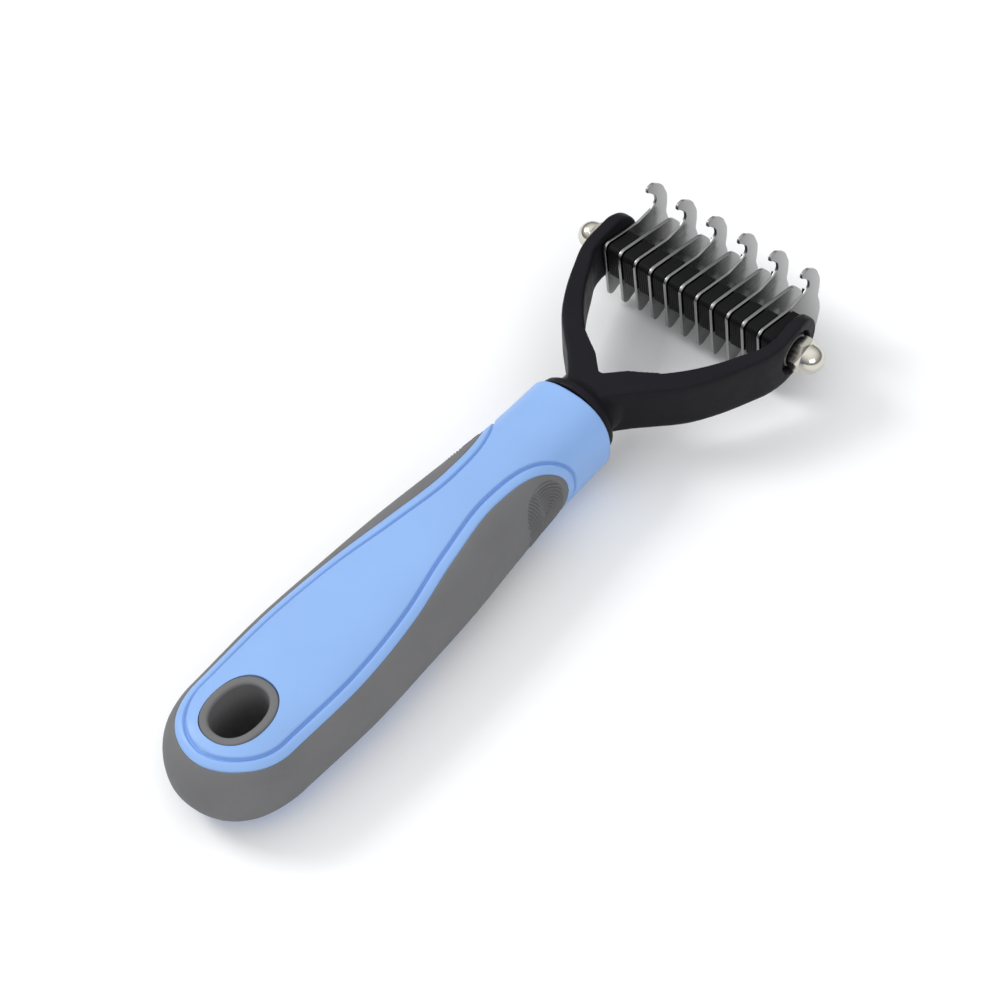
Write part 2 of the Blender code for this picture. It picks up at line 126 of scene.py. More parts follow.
# Blade pack
BLADE_COUNT = 11
BLADE_THICK = 0.7
PITCH = 4.13
PACK_WIDE = BLADE_COUNT * PITCH - 0.3
ROD_HOLE_R = 2.25
BLADE_MID_Z = -3.0
NEAR_Y = -4.5
EDGE_SLOPE = 0.33
NEAR_CORNER_Z = 6.1
SPACER_FAR_Y = 3.9
END_SPACER_FAR_Y = 7.2
SPACER_FLOOR_Z = -4.1
SPACER_INSET = 0.25
SPACER_THICK = PITCH - BLADE_THICK - 0.6
SPACER_SOFT = 0.15
SCORE_COUNT = 4
SCORE_HALF = 0.09
SCORE_DEPTH = 0.1

# Corners of a blade's outline, (y, z, radius). A hook's z is measured from the blade's middle, outwards.
HOOK = [
    (7.2, 5.3, 3.0),
    (11.8, 5.2, 1.6),
    (13.7, 6.2, 1.3),
    (13.5, 8.3, 2.4),
    (11.9, 10.6, 1.6),
    (10.9, 11.5, 0.5),
    (11.0, 12.75, 0.75),
    (13.1, 12.75, 2.0),
    (16.2, 9.6, 5.0),
    (17.5, 5.3, 4.0),
    (17.3, 2.6, 3.0),
]
WAIST = [(16.7, BLADE_MID_Z, 3.0)]
SHOULDER = [(14.0, 0.2, 4.0), (17.4, -5.4, 6.0)]
NEAR_TOP_R = 1.6
NEAR_FOOT_R = 1.5

# Rod, washers and nuts
ROD_R = 1.9
ROD_HALF = 29.6
THREAD_PITCH = 0.7
THREAD_FROM = 24.0
THREAD_DEPTH = 0.3
THREAD_RUN_IN = 0.7
ROD_CHAMFER = 0.45
SEAT_X = 24.5
WASHER = (24.8, 25.6, 2.25, 3.8)  # near and far face, inner and outer radius
NUT_BASE_X = 25.9
NUT_FLATS = 7.0
NUT_HEX = 2.7
NUT_TURN = 15.0  # degrees that the hexagon is turned by
NUT_DOME_R = 3.2
NUT_TIP_X = 32.5
NUT_THREAD = 4.0

# Yoke. The arms' stations are (x, y, thickness).
ARM_PATH = [
    (1.5, -40.5, 4.4),
    (3.4, -36.9, 4.5),
    (6.7, -32.9, 4.5),
    (10.6, -29.0, 4.6),
    (15.0, -24.4, 4.7),
    (18.6, -19.2, 4.2),
    (22.1, -12.4, 3.6),
    (24.0, -8.2, 3.1),
    (24.55, -5.4, 3.0),
    (24.55, -1.0, 3.0),
]
CROTCH = [(3.4, -38.0), (8.0, -32.6), (12.0, -27.7), (9.9, -26.5), (7.8, -27.85), (4.1, -30.2), (0.3, -33.9)]
ARM_POWER = 9.0
ARM_SPARE = 0.1  # half thickness that the softening takes off again
ARM_HALF_TALL = 6.3
ARM_GROW_FROM = -12.0  # ahead of it the arm grows into its round end
ARM_INNER_X = 23.05
ARM_END_Y = 0.9
ARM_END_Z = 0.3
ARM_END_R = 6.8
ARM_END_THINNER = 0.8
# Neck stations: how far ahead of the handle's front, half width, half height, superellipse power
NECK = [
    (0.3, 9.6, 9.6, 2.0),
    (1.8, 9.6, 9.6, 2.0),
    (2.5, 8.9, 8.9, 2.0),
    (3.8, 7.9, 7.3, 2.2),
    (5.6, 7.3, 6.1, 2.6),
    (8.8, 7.3, 5.9, 3.4),
]
TANG_SIZE = (11, 33, 7)
TANG_BACK = 15.5
# Counterbore in each arm's outer face, as (x, radius)
SEAT = [(SEAT_X, 0), (SEAT_X, 4.8), (25.0, 4.8), (25.5, 4.9), (26.2, 5.5), (34, 6.4), (34, 0)]
FUSE_VOXEL = 0.3


# ---------------------------------------------------------------- materials
def shader_material(name, colour, roughness, metallic=0.0):
    """A Principled material and the handles its finish is built with."""
    mat = bpy.data.materials.new(name)
    mat.use_nodes = True
    tree = mat.node_tree
    shader = tree.nodes["Principled BSDF"]
    shader.inputs["Base Color"].default_value = (*colour, 1)
    shader.inputs["Roughness"].default_value = roughness
    shader.inputs["Metallic"].default_value = metallic
    place = tree.nodes.new("ShaderNodeTexCoord")
    return mat, tree, shader, place


def noise(tree, place, scale, detail, stretch=(1, 1, 1)):
    """Noise in the piece's own coordinates. scale counts features a metre."""
    mapping = tree.nodes.new("ShaderNodeMapping")
    mapping.inputs["Scale"].default_value = stretch
    tree.links.new(place.outputs["Object"], mapping.inputs["Vector"])
    texture = tree.nodes.new("ShaderNodeTexNoise")
    texture.inputs["Scale"].default_value = scale
    texture.inputs["Detail"].default_value = detail
    tree.links.new(mapping.outputs["Vector"], texture.inputs["Vector"])
    return texture.outputs["Fac"]


def remap(tree, value, low, high, start=0.3, end=0.7):
    node = tree.nodes.new("ShaderNodeMapRange")
    node.inputs["From Min"].default_value = start
    node.inputs["From Max"].default_value = end
    node.inputs["To Min"].default_value = low
    node.inputs["To Max"].default_value = high
    tree.links.new(value, node.inputs["Value"])
    return node.outputs["Result"]


def mixed(tree, kind, factor, first, second):
    """Blend of two values, each a number, a colour or another node's output, by a 0 to 1 factor."""
    mix = tree.nodes.new("ShaderNodeMix")
    mix.data_type = kind
    tree.links.new(factor, mix.inputs["Factor"])
    for name, value in (("A", first), ("B", second)):
        if isinstance(value, bpy.types.NodeSocket):
            tree.links.new(value, mix.inputs[name])
        else:
            mix.inputs[name].default_value = value
    return mix.outputs["Result"]


def tinted(tree, shader, value, dark, light):
    """Base colour between two tints, by a 0 to 1 value."""
    tree.links.new(mixed(tree, "RGBA", value, (*dark, 1), (*light, 1)), shader.inputs["Base Color"])


def part_of(tree, vector, axis):
    """One component of a vector."""
    split = tree.nodes.new("ShaderNodeSeparateXYZ")
    tree.links.new(vector, split.inputs["Vector"])
    return split.outputs[axis]


def distance_from(tree, value, middle):
    """How far a value is from the middle, either way."""
    off = tree.nodes.new("ShaderNodeMath")
    off.operation = "SUBTRACT"
    off.inputs[1].default_value = middle
    tree.links.new(value, off.inputs[0])
    size = tree.nodes.new("ShaderNodeMath")
    size.operation = "ABSOLUTE"
    tree.links.new(off.outputs[0], size.inputs[0])
    return size.outputs[0]


def bumped(tree, shader, value, height):
    bump = tree.nodes.new("ShaderNodeBump")
    bump.inputs["Strength"].default_value = 1.0
    bump.inputs["Distance"].default_value = height
    tree.links.new(value, bump.inputs["Height"])
    tree.links.new(bump.outputs["Normal"], shader.inputs["Normal"])


def moulded(name, colour, roughness, grain, depth, spread, specular):
    """Moulded plastic or rubber: fine spark-eroded grain, cloudy tint and uneven gloss."""
    mat, tree, shader, place = shader_material(name, colour, roughness)
    shader.inputs["Specular IOR Level"].default_value = specular
    cloud = noise(tree, place, 60, 4)
    dark = [c * (1 - spread) for c in colour]
    light = [min(c * (1 + spread), 1) for c in colour]
    tinted(tree, shader, remap(tree, cloud, 0, 1), dark, light)
    fine = noise(tree, place, grain, 2)
    gloss = noise(tree, place, 450, 3)
    tree.links.new(remap(tree, gloss, roughness - 0.06, roughness + 0.06), shader.inputs["Roughness"])
    bumped(tree, shader, fine, depth)
    return mat


def edge_mask(tree):
    """1 on a plate's rim and 0 on its broad faces, from the surface's own normal across the plate."""
    geometry = tree.nodes.new("ShaderNodeNewGeometry")
    across = distance_from(tree, part_of(tree, geometry.outputs["Normal"], "X"), 0.0)
    return remap(tree, across, 1, 0, 0.55, 0.9)


def blade_material():
    """Stamped stainless sheet: satin rolled faces with fine scratches along the blade, painted shade and a
    painted dark reflection of the spacers and neighbouring blades beside the spacers, and plain rims."""
    mat, tree, shader, place = shader_material("blade_steel", (0.56, 0.57, 0.58), 0.3, 1.0)
    rim = edge_mask(tree)
    streaks = noise(tree, place, 900, 4, (1, 0.06, 1))
    gloss = mixed(tree, "FLOAT", rim, remap(tree, streaks, 0.13, 0.24), 0.3)
    tree.links.new(gloss, shader.inputs["Roughness"])
    # Painted shade: the faces go near black in a band beside the spacers, painting the shade and the dark
    # reflection of the spacers and neighbouring blades between the blades.
    along = part_of(tree, place.outputs["Object"], "Y")
    shade_band_offset = distance_from(tree, along, rod_at[1] + 6 * MM)
    depth = remap(tree, shade_band_offset, 0.0, 1.0, 0.0, 12 * MM)
    face = mixed(tree, "RGBA", depth, (0.10, 0.10, 0.10, 1), (0.44, 0.44, 0.435, 1))
    colour = mixed(tree, "RGBA", rim, face, (0.34, 0.34, 0.335, 1))
    tree.links.new(colour, shader.inputs["Base Color"])
    bumped(tree, shader, streaks, 0.000006)
    return mat


def plated_material(name, colour, roughness):
    """Plated metal: a little uneven gloss and hair scratches."""
    mat, tree, shader, place = shader_material(name, colour, roughness, 1.0)
    cloud = noise(tree, place, 250, 3)
    tinted(tree, shader, remap(tree, cloud, 0, 1), [c * 0.9 for c in colour], colour)
    scratch = noise(tree, place, 1500, 4, (0.2, 1, 1))
    tree.links.new(remap(tree, scratch, roughness - 0.05, roughness + 0.08), shader.inputs["Roughness"])
    bumped(tree, shader, scratch, 0.000004)
    return mat


# Colour, roughness, grain in features a metre, grain depth in metres, spread of the tint, specular level
PLASTICS = {
    "blue_plastic": ((0.245, 0.415, 0.75), 0.46, 3000, 0.000010, 0.03, 0.4),
    "grey_rubber": ((0.155, 0.155, 0.157), 0.74, 4500, 0.000022, 0.07, 0.25),
    "black_plastic": ((0.0105, 0.010, 0.013), 0.46, 2600, 0.000014, 0.12, 0.09),
    "spacer_plastic": ((0.006, 0.006, 0.0065), 0.5, 2600, 0.000014, 0.12, 0.12),
}
MATERIALS = {name: moulded(name, *look) for name, look in PLASTICS.items()}
MATERIALS["blade_steel"] = blade_material()
# Painted shade: the zinc is dark zinc darkened further, to paint the shade on the washers sunk in the arms'
# counterbores. The rod shares the colour.
MATERIALS["zinc_plate"] = plated_material("zinc_plate", (0.16, 0.16, 0.155), 0.4)
MATERIALS["nickel_plate"] = plated_material("nickel_plate", (0.68, 0.65, 0.57), 0.17)


# ---------------------------------------------------------------- mesh helpers
def smooth_by_angle(mesh, degrees):
    mesh.shade_smooth()
    mesh.set_sharp_from_angle(angle=math.radians(degrees))


def from_bmesh(name, bm, join=1e-5):
    bmesh.ops.remove_doubles(bm, verts=bm.verts, dist=join)
    bmesh.ops.dissolve_degenerate(bm, edges=bm.edges, dist=join)
    bmesh.ops.recalc_face_normals(bm, faces=bm.faces)
    mesh = bpy.data.meshes.new(name)
    bm.to_mesh(mesh)
    bm.free()
    obj = bpy.data.objects.new(name, mesh)
    bpy.context.scene.collection.objects.link(obj)
    return obj


def baked(obj):
    """Apply the modifiers to the mesh."""
    bpy.context.view_layer.update()
    mesh = bpy.data.meshes.new_from_object(obj.evaluated_get(bpy.context.evaluated_depsgraph_get()))
    obj.modifiers.clear()
    obj.data = mesh
    return obj


def cut(obj, *tools):
    """Cut tools out of a piece and remove them."""
    for tool in tools:
        mod = obj.modifiers.new(tool.name, "BOOLEAN")
        mod.operation = "DIFFERENCE"
        mod.solver = "EXACT"
        mod.object = tool
    baked(obj)
    for tool in tools:
        bpy.data.objects.remove(tool)
    return obj


def placed(obj, node, slot, body=BODY, at=LEVEL):
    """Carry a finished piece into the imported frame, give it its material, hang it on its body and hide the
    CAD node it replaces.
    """
    obj.data.transform(at)
    obj.data.materials.clear()
    obj.data.materials.append(MATERIALS[slot])
    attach(obj, body)
    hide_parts(node)
    return obj


def through(stations, at):
    """Smooth curve through (place, value) stations (cubic Hermite, held level past the ends)."""
    places = np.array([s[0] for s in stations], float)
    values = np.array([s[1] for s in stations], float)
    slopes = np.gradient(values, places)
    at = min(max(at, places[0]), places[-1])
    i = min(int(np.searchsorted(places, at, side="right")) - 1, len(places) - 2)
    run = places[i + 1] - places[i]
    t = (at - places[i]) / run
    return float(
        (2 * t**3 - 3 * t**2 + 1) * values[i]
        + (t**3 - 2 * t**2 + t) * run * slopes[i]
        + (3 * t**2 - 2 * t**3) * values[i + 1]
        + (t**3 - t**2) * run * slopes[i + 1]
    )


def superellipse(half_a, half_b, count, power):
    """Points round a superellipse, an ellipse at power 2 and squarer above it."""
    points = []
    for i in range(count):
        c, s = math.cos(2 * math.pi * i / count), math.sin(2 * math.pi * i / count)
        points.append((
            half_a * math.copysign(abs(c) ** (2 / power), c),
            half_b * math.copysign(abs(s) ** (2 / power), s),
        ))
    return points


def loft(bm, rings):
    """Closed body through rings of equal count, added to bm."""
    made = [[bm.verts.new(p) for p in ring] for ring in rings]
    count = len(rings[0])
    for low, high in zip(made, made[1:]):
        for i in range(count):
            j = (i + 1) % count
            bm.faces.new((low[i], low[j], high[j], high[i]))
    bm.faces.new(made[0])
    bm.faces.new(made[-1])


def grid(bm, rows):
    """Faces over a grid of points, rows by columns."""
    made = [[bm.verts.new(p) for p in row] for row in rows]
    for low, high in zip(made, made[1:]):
        for i in range(len(low) - 1):
            bm.faces.new((low[i], low[i + 1], high[i + 1], high[i]))


def prism(name, outline, low, high):
    """Upright prism over an outline in X and Y."""
    bm = bmesh.new()
    loft(bm, [[(x, y, z) for x, y in outline] for z in (low, high)])
    return from_bmesh(name, bm)


# ---------------------------------------------------------------- handle
def half_sizes(y):
    """Half width and half height of the handle at y."""
    sizes = []
    for stations, butt_round in ((HALF_WIDTHS, BUTT_ROUND_WIDE), (HALF_HEIGHTS, BUTT_ROUND_TALL)):
        short = min(max(0.0, 1 - (y - BUTT_Y) / butt_round), 0.99999)
        front = max(0.0, 1 - (FRONT_Y - y) / FRONT_ROUND)
        rounding = FRONT_ROUND * (1 - math.sqrt(1 - min(front, 1.0) ** 2))
        sizes.append((through(stations, y) - rounding) * math.sqrt(1 - short**2))
    return sizes


def panel_half(y):
    """Half width of the blue panel at y, seen from above. It is 0 behind its loop round the butt, and has no
    limit ahead of its last station, where the blue goes right round."""
    if y >= PANEL_LOOP_Y:
        return through(PANEL_HALVES, y) if y < PANEL_HALVES[-1][0] else math.inf
    back = (PANEL_LOOP_Y - y) / (PANEL_LOOP_Y - PANEL_END_Y)
    return PANEL_HALVES[0][1] * math.sqrt(max(0.0, 1 - back**2))


class Section:
    """A quarter of the handle's section at y, measured along its skin from the side's middle up to the
    crown. The rubber covers it up to edge, and the blue panel from there."""

    def __init__(self, y):
        self.y = y
        self.sizes = half_sizes(y)
        turn = np.linspace(0, math.pi / 2, SKIN_SAMPLES)
        self.x = self.sizes[0] * np.cos(turn) ** (2 / POWER)
        self.z = self.sizes[1] * np.sin(turn) ** (2 / POWER)
        self.x[-1] = 0.0
        self.along = np.concatenate([[0], np.cumsum(np.hypot(np.diff(self.x), np.diff(self.z)))])
        self.total = self.along[-1]
        half = panel_half(y)
        if half <= 0:
            self.edge = self.total
        elif half >= self.sizes[0]:
            self.edge = 0.0
        else:
            self.edge = float(np.interp(-half, -self.x, self.along))

    def point(self, s, depth=0.0):
        """Point on the skin at s, sunk by depth."""
        x, z = np.interp(s, self.along, self.x), np.interp(s, self.along, self.z)
        step = 0.02 * self.total
        dx = np.interp(s + step, self.along, self.x) - np.interp(s - step, self.along, self.x)
        dz = np.interp(s + step, self.along, self.z) - np.interp(s - step, self.along, self.z)
        size = math.hypot(dx, dz) or 1.0
        if s <= 0:
            dx, dz, size = 0.0, 1.0, 1.0
        if s >= self.total:
            dx, dz, size = -1.0, 0.0, 1.0
        return np.array([x - depth * dz / size, self.y, z + depth * dx / size])


def lobe_tip():
    """Where the panel reaches the handle's sides, so that the rubber ends."""
    low, high = -75.0, FRONT_Y
    for _ in range(40):
        y = (low + high) / 2
        if panel_half(y) < half_sizes(y)[0]:
            low = y
        else:
            high = y
    return high


def handle_places():
    """Where the handle's sections stand: close together round the butt, in the loop and over the ridges."""
    places = [BUTT_Y + BUTT_ROUND_WIDE * (1 - math.cos(math.radians(a))) for a in BUTT_TURNS]
    places += list(np.arange(places[-1] + 0.5, PANEL_END_Y - 0.3, 0.4))
    loop = PANEL_LOOP_Y - PANEL_END_Y
    places.append(PANEL_END_Y - 0.02)
    places += [PANEL_LOOP_Y - loop * math.cos(math.radians(a)) for a in np.arange(0.0, 90.0, 2.5)]
    tip = lobe_tip()
    y = PANEL_LOOP_Y
    while y < tip - 1.0:
        places.append(y)
        y += RIDGE_STEP if y > PATCH_Y - PATCH_HALF[0] - 0.5 else BODY_STEP
    places += [tip - 1.0 * math.cos(math.radians(a)) ** 2 for a in np.arange(0, 91, 5)]
    places += list(np.arange(tip + 0.15, -52.0, 0.15))
    places += list(np.arange(-52.0, FRONT_Y - FRONT_ROUND, 0.5))
    places += [FRONT_Y - FRONT_ROUND * (1 - math.sin(math.radians(a))) for a in (0, 15, 30, 45, 60, 75, 90)]
    return sorted(set(round(float(y), 4) for y in places))


def seam_tree(sections):
    """Points along the edge between panel and rubber, for measuring the distance to it."""
    points = [s.point(s.edge) for s in sections if 0 < s.edge < s.total]
    tip = next(s for s in sections if s.edge == 0 and s.y > PANEL_LOOP_Y)
    points.append(tip.point(0))
    full = []
    for a, b in zip(points, points[1:]):
        steps = max(1, math.ceil(float(np.linalg.norm(b - a)) / SEAM_SAMPLE))
        full += [a + (b - a) * k / steps for k in range(steps)]
    tree = KDTree(len(full) * 2)
    for i, p in enumerate(full):
        tree.insert(p, 2 * i)
        tree.insert((-p[0], p[1], p[2]), 2 * i + 1)
    tree.balance()
    return tree


def seam_dip(distance):
    """Depth of the crease where panel and rubber meet."""
    return SEAM_DEPTH * max(0.0, 1 - distance / SEAM_WIDE) ** 2


def groove_dip(distance):
    """Depth of the groove moulded along the panel's edge."""
    off = abs(distance - GROOVE_IN) / GROOVE_HALF
    return GROOVE_DEPTH * (0.5 + 0.5 * math.cos(math.pi * off)) if off < 1 else 0.0


def ridge_rise(y, s):
    """Height of the ridge patch at y and s, the way up round the skin from the side's middle."""
    inside = abs((y - PATCH_Y) / PATCH_HALF[0]) ** PATCH_POWER + abs(s / PATCH_HALF[1]) ** PATCH_POWER
    if inside >= 1:
        return 0.0
    fade = min(1.0, (1 - inside) / 0.1)
    tight, wide = (
        0.5 + 0.5 * math.cos(2 * math.pi * math.hypot(y - centre, s) / RIDGE_PITCH)
        for centre in (TIGHT_ARCS_Y, WIDE_ARCS_Y)
    )
    ahead = min(1.0, max(0.0, (y - RIDGE_MEETING_Y) / RIDGE_MEETING_WIDE + 0.5))
    return fade * RIDGE_TALL * (tight * ahead + wide * (1 - ahead) - RIDGE_SUNK)


def quarters(bm, rows):
    """Add a quarter's grid and its three mirror images about the handle's middle."""
    for side in (1, -1):
        for up in (1, -1):
            grid(bm, [[(side * p[0], p[1], MID_Z + up * p[2]) for p in row] for row in rows])


def reach(section, seam, distance):
    """How far round the section's skin the panel is first this distance from the rubber's edge."""
    near, far = section.edge, section.total
    if seam.find(section.point(near))[2] >= distance:
        return near
    for _ in range(16):
        s = (near + far) / 2
        if seam.find(section.point(s))[2] < distance:
            near = s
        else:
            far = s
    return far


def panel_shows(sections, i):
    """Whether the panel shows at a section, or starts right ahead of it."""
    if sections[i].edge < sections[i].total:
        return True
    return sections[i + 1].edge < sections[i + 1].total


def let_in(section, depth):
    """How deep the rubber lies at a section. It runs out at a lobe's tip."""
    return depth * min(1.0, section.edge / SKIN_RUN_OUT)


def handle_core(sections, seam):
    """The blue core: panel above and below with the moulded groove, let in where the rubber lies."""
    groove_far = GROOVE_IN + GROOVE_HALF
    levels = [0.1, 0.3, 0.6, 1.1]
    levels += [GROOVE_IN + GROOVE_HALF * k / 6 for k in range(-6, 7)]
    levels += [groove_far + 0.3]
    bm = bmesh.new()
    recesses, panel, wall = [], [], []
    closed = False  # past the lobe's tip, where the rubber has run out
    for i, section in enumerate(sections):
        sunk = let_in(section, SKIN)
        recess = [section.point(section.edge * k / RECESS_STEPS, sunk) for k in range(RECESS_STEPS + 1)]
        if not closed:
            recesses.append(recess)
        if not panel_shows(sections, i):
            continue
        stops = [section.edge] + [reach(section, seam, level) for level in levels]
        left = section.total - stops[-1]
        stops += [stops[-1] + left * (k + 1) / PANEL_STEPS for k in range(PANEL_STEPS)]
        row = []
        for s in stops:
            distance = seam.find(section.point(s))[2]
            row.append(section.point(s, seam_dip(distance) + groove_dip(distance)))
        panel.append(row)
        if section.edge > 0:
            wall.append([recess[-1], row[0]])
        elif not closed:
            wall.append([row[0], row[0]])
            closed = True
    quarters(bm, recesses)
    quarters(bm, panel)
    quarters(bm, wall)
    return bm


def grip(sections, seam):
    """The rubber: both sides and the whole butt, with the ridge patch in each front lobe."""
    bm = bmesh.new()
    outer, inner, wall = [], [], []
    for i, section in enumerate(sections):
        if section.edge <= 0 and section.y > PANEL_LOOP_Y:
            tip = section.point(0)  # the lobe's tip, where the two quarters close
            outer.append([tip] * len(outer[-1]))
            inner.append([tip] * len(inner[-1]))
            wall.append([tip, tip])
            break
        last = section.edge
        stops = [last * k / GRIP_STEPS for k in range(GRIP_STEPS)] + [last - d for d in GRIP_EDGE_STEPS]
        row = []
        for s in sorted(max(0.0, s) for s in stops) + [last]:
            near_seam = section.y > PANEL_END_Y - 1
            dip = seam_dip(seam.find(section.point(s))[2]) if near_seam else 0.0
            row.append(section.point(s, dip - ridge_rise(section.y, s)))
        sunk = let_in(section, SKIN - SKIN_GAP)
        under = [section.point(last * k / UNDERSIDE_STEPS, sunk) for k in range(UNDERSIDE_STEPS + 1)]
        outer.append(row)
        inner.append(under)
        if panel_shows(sections, i):
            wall.append([row[-1], under[-1]])
    quarters(bm, outer)
    quarters(bm, inner)
    quarters(bm, wall)
    return bm


def capped(bm):
    """Close the open rings at the handle's two ends."""
    bmesh.ops.remove_doubles(bm, verts=bm.verts, dist=1e-4)
    bmesh.ops.holes_fill(bm, edges=[e for e in bm.edges if e.is_boundary], sides=0)
    return bm


def hole_outline(half, count=72):
    return [(x, HOLE_Y + y) for x, y in superellipse(*half, count, HOLE_POWER)]


def hole_ring():
    """The rubber ring of the hanging hole: flat ends with soft lips, turned about the oval."""
    wide = RING_HALF[0] - HOLE_HALF[0]
    turns = [math.radians(a) for a in range(0, 91, 15)]
    profile = []  # how far from the outer wall to the bore, and height
    for turn in turns:
        profile.append((RING_LIP * (1 - math.cos(turn)), RING_TALL - RING_LIP * (1 - math.sin(turn))))
    for turn in turns:
        inward = wide - RING_MOUTH * (1 - math.sin(turn))
        profile.append((inward, RING_TALL - RING_MOUTH * (1 - math.cos(turn))))
    profile += [(d, -h) for d, h in reversed(profile)]
    bm = bmesh.new()
    rings = []
    for inward, height in profile:
        half = (RING_HALF[0] - inward, RING_HALF[1] - inward)
        rings.append([bm.verts.new((x, y, MID_Z + height)) for x, y in hole_outline(half)])
    for low, high in zip(rings, rings[1:] + rings[:1]):
        for i in range(len(low)):
            j = (i + 1) % len(low)
            bm.faces.new((low[i], low[j], high[j], high[i]))
    return bm


def build_handle():
    sections = [Section(y) for y in handle_places()]
    seam = seam_tree(sections)
    core = from_bmesh("handle_core_fine", capped(handle_core(sections, seam)), 1e-4)
    opening = prism("hole_cutter", hole_outline([h + RING_GAP for h in RING_HALF]), -30, 30)
    cut(core, opening)
    rubber = from_bmesh("grip_overmould_fine", capped(grip(sections, seam)), 1e-4)
    ring = from_bmesh("hang_hole_grommet_fine", hole_ring())
    for obj, node, slot in (
        (core, "handle_core", "blue_plastic"),
        (rubber, "grip_overmould", "grey_rubber"),
        (ring, "hang_hole_grommet", "grey_rubber"),
    ):
        smooth_by_angle(obj.data, 48)
        placed(obj, node, slot)


# ---------------------------------------------------------------- yoke
def arm_rings(side, around=40, steps=48):
    """Sections of one arm, from its root along the path and round its end."""
    run = [0.0]
    for (x0, y0, _), (x1, y1, _) in zip(ARM_PATH, ARM_PATH[1:]):
        run.append(run[-1] + math.hypot(x1 - x0, y1 - y0))
    tracks = [[(r, p[k]) for r, p in zip(run, ARM_PATH)] for k in range(3)]
    stations = []
    for i in range(steps + 1):
        r = run[-1] * i / steps
        x, y, thick = (through(t, r) for t in tracks)
        ahead = Vector([through(t, r + 0.3) - through(t, r - 0.3) for t in tracks[:2]])
        across = Vector((ahead.y, -ahead.x)).normalized()
        grown = min(1.0, max(0.0, (y - ARM_GROW_FROM) / -ARM_GROW_FROM)) ** 2
        half_tall = ARM_HALF_TALL + grown * (ARM_END_R - ARM_HALF_TALL)
        stations.append((x, y, grown * ARM_END_Z, across, thick / 2, half_tall))
    thick = ARM_PATH[-1][2]
    for a in range(0, 89, 4):
        angle = math.radians(a)
        half = (thick - ARM_END_THINNER * math.sin(angle)) / 2
        y = ARM_END_Y + ARM_END_R * math.sin(angle)
        stations.append((ARM_INNER_X + half, y, ARM_END_Z, Vector((1, 0)), half, ARM_END_R * math.cos(angle)))
    rings = []
    for x, y, z, across, half, tall in stations:
        section = superellipse(half + ARM_SPARE, tall, around, ARM_POWER)
        rings.append([(side * (x + across.x * u), y + across.y * u, z + v) for u, v in section])
    return rings


def neck_rings(around=64):
    rings = []
    for ahead, wide, tall, power in NECK:
        rings.append([(u, FRONT_Y + ahead, v) for u, v in superellipse(wide, tall, around, power)])
    return rings


def x_turned(name, profile, steps, side=1):
    """Body turned about X from a closed profile of (x, radius) points; points on the axis are shared."""
    bm = bmesh.new()
    rings = []
    for x, radius in profile:
        if radius == 0:
            rings.append([bm.verts.new((side * x, 0, 0))] * steps)
            continue
        ring = []
        for k in range(steps):
            angle = 2 * math.pi * k / steps
            ring.append(bm.verts.new((side * x, radius * math.cos(angle), radius * math.sin(angle))))
        rings.append(ring)
    for low, high in zip(rings, rings[1:]):
        for k in range(steps):
            corners = [low[k], low[(k + 1) % steps], high[(k + 1) % steps], high[k]]
            unique = list(dict.fromkeys(corners))
            if len(unique) > 2:
                bm.faces.new(unique)
    return from_bmesh(name, bm)


def rod_hole(name, x, half=5, steps=40):
    """Cutter for the rod's hole through a piece that stands at x."""
    profile = [(x - half, 0), (x - half, ROD_HOLE_R), (x + half, ROD_HOLE_R), (x + half, 0)]
    return x_turned(name, profile, steps)


def build_yoke():
    """Neck, arms, web and tang as overlapping bodies, fused into one casting, then bored."""
    bm = bmesh.new()
    loft(bm, neck_rings())
    for side in (-1, 1):
        loft(bm, arm_rings(side))
    web = CROTCH + [(-x, y) for x, y in reversed(CROTCH)]
    loft(bm, [[(x, y, z) for x, y in web] for z in (-ARM_HALF_TALL, ARM_HALF_TALL)])
    tang = bmesh.ops.create_cube(bm, size=1.0)
    bmesh.ops.transform(
        bm, verts=tang["verts"],
        matrix=Matrix.Translation((0, FRONT_Y - TANG_BACK, MID_Z)) @ Matrix.Diagonal((*TANG_SIZE, 1)),
    )
    bmesh.ops.recalc_face_normals(bm, faces=bm.faces)
    mesh = bpy.data.meshes.new("yoke_fine")
    bm.to_mesh(mesh)
    bm.free()
    yoke = bpy.data.objects.new("yoke_fine", mesh)
    bpy.context.scene.collection.objects.link(yoke)
    fuse = yoke.modifiers.new("fuse", "REMESH")
    fuse.mode = "VOXEL"
    fuse.voxel_size = FUSE_VOXEL
    soften = yoke.modifiers.new("soften", "SMOOTH")
    soften.factor = 0.5
    soften.iterations = 5
    baked(yoke)
    seats = [x_turned(f"seat_{side + 1}", SEAT, 64, side) for side in (-1, 1)]
    cut(yoke, rod_hole("rod_bore", 0, 40, 48), *seats)
    smooth_by_angle(yoke.data, 40)
    placed(yoke, "yoke", "black_plastic")


# ---------------------------------------------------------------- blades and spacers
def filleted(corners, step=math.radians(7)):
    """Closed outline through (y, z, radius) corners, each rounded by an arc of that radius."""
    outline = []
    total = len(corners)
    for i, (y, z, radius) in enumerate(corners):
        here = Vector((y, z))
        before = (Vector(corners[i - 1][:2]) - here).normalized()
        after = (Vector(corners[(i + 1) % total][:2]) - here).normalized()
        half = before.angle(after) / 2
        if radius <= 0 or half > math.radians(88.5):
            outline.append((y, z))
            continue
        centre = here + (before + after).normalized() * (radius / math.sin(half))
        trim = radius / math.tan(half)
        start, end = here + before * trim - centre, here + after * trim - centre
        sweep = start.angle_signed(end)
        arcs = max(1, math.ceil(abs(sweep) / step))
        outline += [tuple(centre + Matrix.Rotation(-sweep * k / arcs, 2) @ start) for k in range(arcs + 1)]
    return outline


def hook_corners(side):
    """Corners of the upper (+1) or lower (-1) hook."""
    return [(y, BLADE_MID_Z + side * z, radius) for y, z, radius in HOOK]


